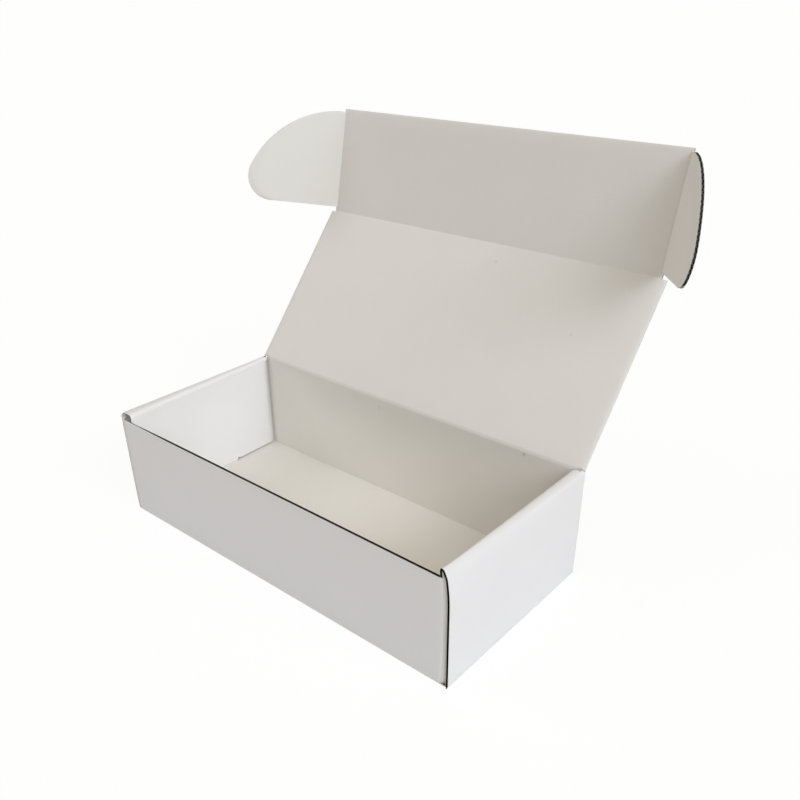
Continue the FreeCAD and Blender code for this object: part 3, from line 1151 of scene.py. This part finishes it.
def earReach(along):
    # how far the ear reaches from its fold, at a distance from the lid's crease
    low = ear["near"] + ear["round"]
    inner = ear["radius"] - ear["round"]
    middle = math.sqrt(inner ** 2 - (low - ear["centre"]) ** 2)
    change = ear["centre"] + (low - ear["centre"]) * ear["radius"] / inner
    if along < change:
        return middle + math.sqrt(max(0.0, ear["round"] ** 2 - (along - low) ** 2))
    return math.sqrt(ear["radius"] ** 2 - (along - ear["centre"]) ** 2)


def earRows():
    low = ear["near"] + ear["round"]
    inner = ear["radius"] - ear["round"]
    turn = math.acos((low - ear["centre"]) / inner)
    count = ear["roundRows"]
    rows = [low - ear["round"] * math.cos((math.pi - turn) * k / count) for k in range(count + 1)]
    last = math.acos((ear["far"] - ear["centre"]) / ear["radius"])
    for k in range(1, ear["curveRows"] + 1):
        angle = turn + (last - turn) * k / ear["curveRows"]
        rows.append(ear["centre"] + ear["radius"] * math.cos(angle))
    return rows


def earPlace(side, fold):
    reach = 100.0
    outline = [(-ear["lead"], 0), (0, 0), (reach * math.cos(fold), reach * math.sin(fold))]
    profile = Line(outline, [ear["crease"]], crush=[0.3])
    heading = np.array([0, *flapHeading])
    inward = np.array([0, -flapHeading[1], flapHeading[0]])
    corner = np.array([side * ear["axis"], *creaseAt])

    def place(distance, along, height):
        out, rise = profile.offset(distance + ear["lead"], height)
        across = flapStart + along
        drift = np.interp(across, [creaseBend[0], spine.length], [stray["crease"], stray["flapEnd"]])
        return corner + heading * along + np.array([side * out + drift, 0, 0]) + inward * rise

    return place, profile


def makeEar(side, name, foldJoint):
    fold = math.radians(90 - hinges[foldJoint]["range_deg"][1])
    place, profile = earPlace(side, fold)
    bendStart, bendEnd = (distance - ear["lead"] for distance in profile.bends[0])
    body = foldJoint.replace("_fold", "")
    rows = earRows()
    span = (rows[0] + fluting["edge"], rows[-1] - fluting["edge"])

    def flat(distance, along):
        return side * (ear["axis"] + distance), flapStart + along

    def spread(share, along, height):
        reach = earReach(along) - bendEnd
        height = pinched(height, (1 - share) * reach, ear["pinch"][side])
        return place(bendEnd + share * reach, along, height)

    def spreadFlat(share, along):
        return flat(bendEnd + share * (earReach(along) - bendEnd), along)

    strip = Cells()
    stripSteps = bendRows((bendStart, bendEnd))
    strip.panel(place, flat, stripSteps, rows)
    strip.flutes(place, flat, stripSteps, span)
    crease = strip.build(name + "Fold", papers)
    start, end = (tuple(place(distance, 0, 0) * metres) for distance in (bendStart, bendEnd))
    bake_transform(crease)
    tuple(start)
    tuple(end)
    cells = Cells()
    shares = [k / 8 for k in range(8)] + [0.985, 1]
    cells.panel(spread, spreadFlat, shares, rows)
    cells.flutes(spread, spreadFlat, [0, 0.5, 0.98, 1], span)
    piece = cells.build(name + "Board", papers)
    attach(piece, body)
    anchor = tuple(place(0, ear["squashFrom"], 0) * metres)
    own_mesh(piece)
    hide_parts(body)


makeEar(-1, "leftEar", "left_ear_fold")
makeEar(1, "rightEar", "right_ear_fold")
print("ears built")


# the floor's white shows to the camera only, over a diffuse floor that keeps
# the box's shadow
studio = {
    "floorHalf": 20.0,
    "floorBelow": 0.0002,
    "overhead": 0.583,  # strength of the light from above
    "overheadColour": (1.0, 0.935, 0.74),
    "keyColour": (0.870, 0.904, 1.0),
    "fillColour": (0.935, 0.88, 1.0),
    "lampAngle": 28.0,
    "floor": 0.80,  # grey of the floor itself
    "floorShow": 0.89,  # share of white over it for the camera
    "floorWhite": 1.035,
}


def makeFloor():
    mesh = bpy.data.meshes.new("studioFloor")
    half = studio["floorHalf"]
    spots = [(-half, -half, 0), (half, -half, 0), (half, half, 0), (-half, half, 0)]
    mesh.from_pydata(spots, [], [(0, 1, 2, 3)])
    floor = bpy.data.objects.new("studioFloor", mesh)
    bpy.context.scene.collection.objects.link(floor)
    floor.location.z = -studio["floorBelow"]
    material, start = newMaterial("studioFloor")
    rays = start.node("ShaderNodeLightPath", {}, {}, "Is Camera Ray")
    tone = (studio["floor"],) * 3 + (1,)
    diffuse = start.node("ShaderNodeBsdfDiffuse", {}, {"Color": tone})
    glow = {"Color": (1, 1, 1, 1), "Strength": studio["floorWhite"]}
    white = start.node("ShaderNodeEmission", {}, glow)
    share = rays * studio["floorShow"]
    shown = start.node("ShaderNodeMixShader", {}, {0: share, 1: diffuse, 2: white})
    start.node("ShaderNodeOutputMaterial", {}, {"Surface": shown})
    mesh.materials.append(material)
    floor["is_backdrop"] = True


def makeWorld():
    world = bpy.data.worlds.new("studio")
    bpy.context.scene.world = world
    world.use_nodes = True
    tree = world.node_tree
    tree.nodes.clear()
    start = Wire(tree)
    rays = start.node("ShaderNodeLightPath", {}, {}, "Is Camera Ray")
    toward = start.node("ShaderNodeTexCoord")
    height = start.node("ShaderNodeSeparateXYZ", {}, {0: toward}, 2)
    strength = height.math("MAXIMUM", height, 0.0) * studio["overhead"]
    tint = (*studio["overheadColour"], 1)
    light = start.node("ShaderNodeBackground", {}, {"Color": tint, "Strength": strength})
    white = start.node("ShaderNodeBackground", {}, {"Color": (1, 1, 1, 1), "Strength": 1.0})
    shown = start.node("ShaderNodeMixShader", {}, {0: rays, 1: light, 2: white})
    start.node("ShaderNodeOutputWorld", {}, {"Surface": shown})


# soft lamps: name, strength, colour, height and bearing in degrees, the bearing
# from the box's right-hand side towards its back
lamps = [
    ("keyMiddle", 0.822, studio["keyColour"], 38, -12),
    ("keyFront", 0.592, studio["keyColour"], 25, -38),
    ("keyBack", 0.817, studio["keyColour"], 25, 8),
    ("fill", 0.616, studio["fillColour"], 40, -150),
]


def makeLamps():
    for name, strength, colour, height, bearing in lamps:
        light = bpy.data.lights.new(name, "SUN")
        light.energy = strength
        light.color = colour
        light.angle = math.radians(studio["lampAngle"])
        lamp = bpy.data.objects.new(name, light)
        bpy.context.scene.collection.objects.link(lamp)
        lamp.rotation_euler = (math.radians(90 - height), 0, math.radians(bearing + 90))


# lens and sensor in millimetres, its place in metres, and its turn in degrees
view = {
    "sensor": 36.0,
    "lens": 37.897,
    "shift": (0.01385, 0.0830),
    "clip": (0.01, 100.0),
    "place": (0.38103, -0.37742, 0.38314),
    "turn": (59.199, 0.998, 40.606),
}


def makeCamera():
    data = bpy.data.cameras.new("camera")
    data.sensor_width = view["sensor"]
    data.lens = view["lens"]
    data.shift_x, data.shift_y = view["shift"]
    data.clip_start, data.clip_end = view["clip"]
    camera = bpy.data.objects.new("camera", data)
    bpy.context.scene.collection.objects.link(camera)
    camera.location = view["place"]
    camera.rotation_euler = tuple(math.radians(angle) for angle in view["turn"])
    bpy.context.scene.camera = camera


makeFloor()
makeWorld()
makeLamps()
makeCamera()
bpy.context.scene.view_settings.view_transform = "Standard"
boxes = {"cad": cadBounds, "scene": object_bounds()}
{key: [list(corner) for corner in ends] for key, ends in boxes.items()}
print("studio ready")
